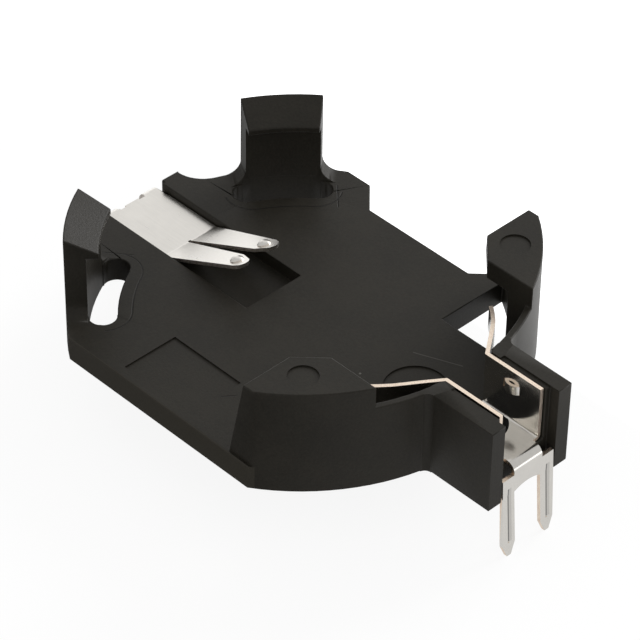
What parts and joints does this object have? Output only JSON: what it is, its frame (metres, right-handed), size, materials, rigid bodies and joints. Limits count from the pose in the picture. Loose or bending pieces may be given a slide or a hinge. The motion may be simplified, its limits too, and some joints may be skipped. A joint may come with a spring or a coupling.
{
  "type": "coin cell holder",
  "caption": "Through-hole holder for a coin cell: flat moulded seat with hooks and lips, a forked finger contact, a channel contact with spring arms, and pins at both ends.",
  "frame": {"origin": "on the board face (the housing's flat underside), under the middle of the cell's seat", "axes": "+X towards the positive contact's pins, +Z away from the board, out of the seat, +Y towards the long side with the relief"},
  "size_m": [0.0278, 0.0188, 0.0094],
  "materials": {
    "moulded_plastic": "satin near-black moulded plastic with fine grain",
    "plated_sheet": "bright tin-plated copper alloy sheet, copper-coloured at the sheared edges"
  },
  "bodies": {
    "root": {"housing": "moulded_plastic", "positive_contact": "plated_sheet", "negative_contact": "plated_sheet"}
  },
  "joints": []
}
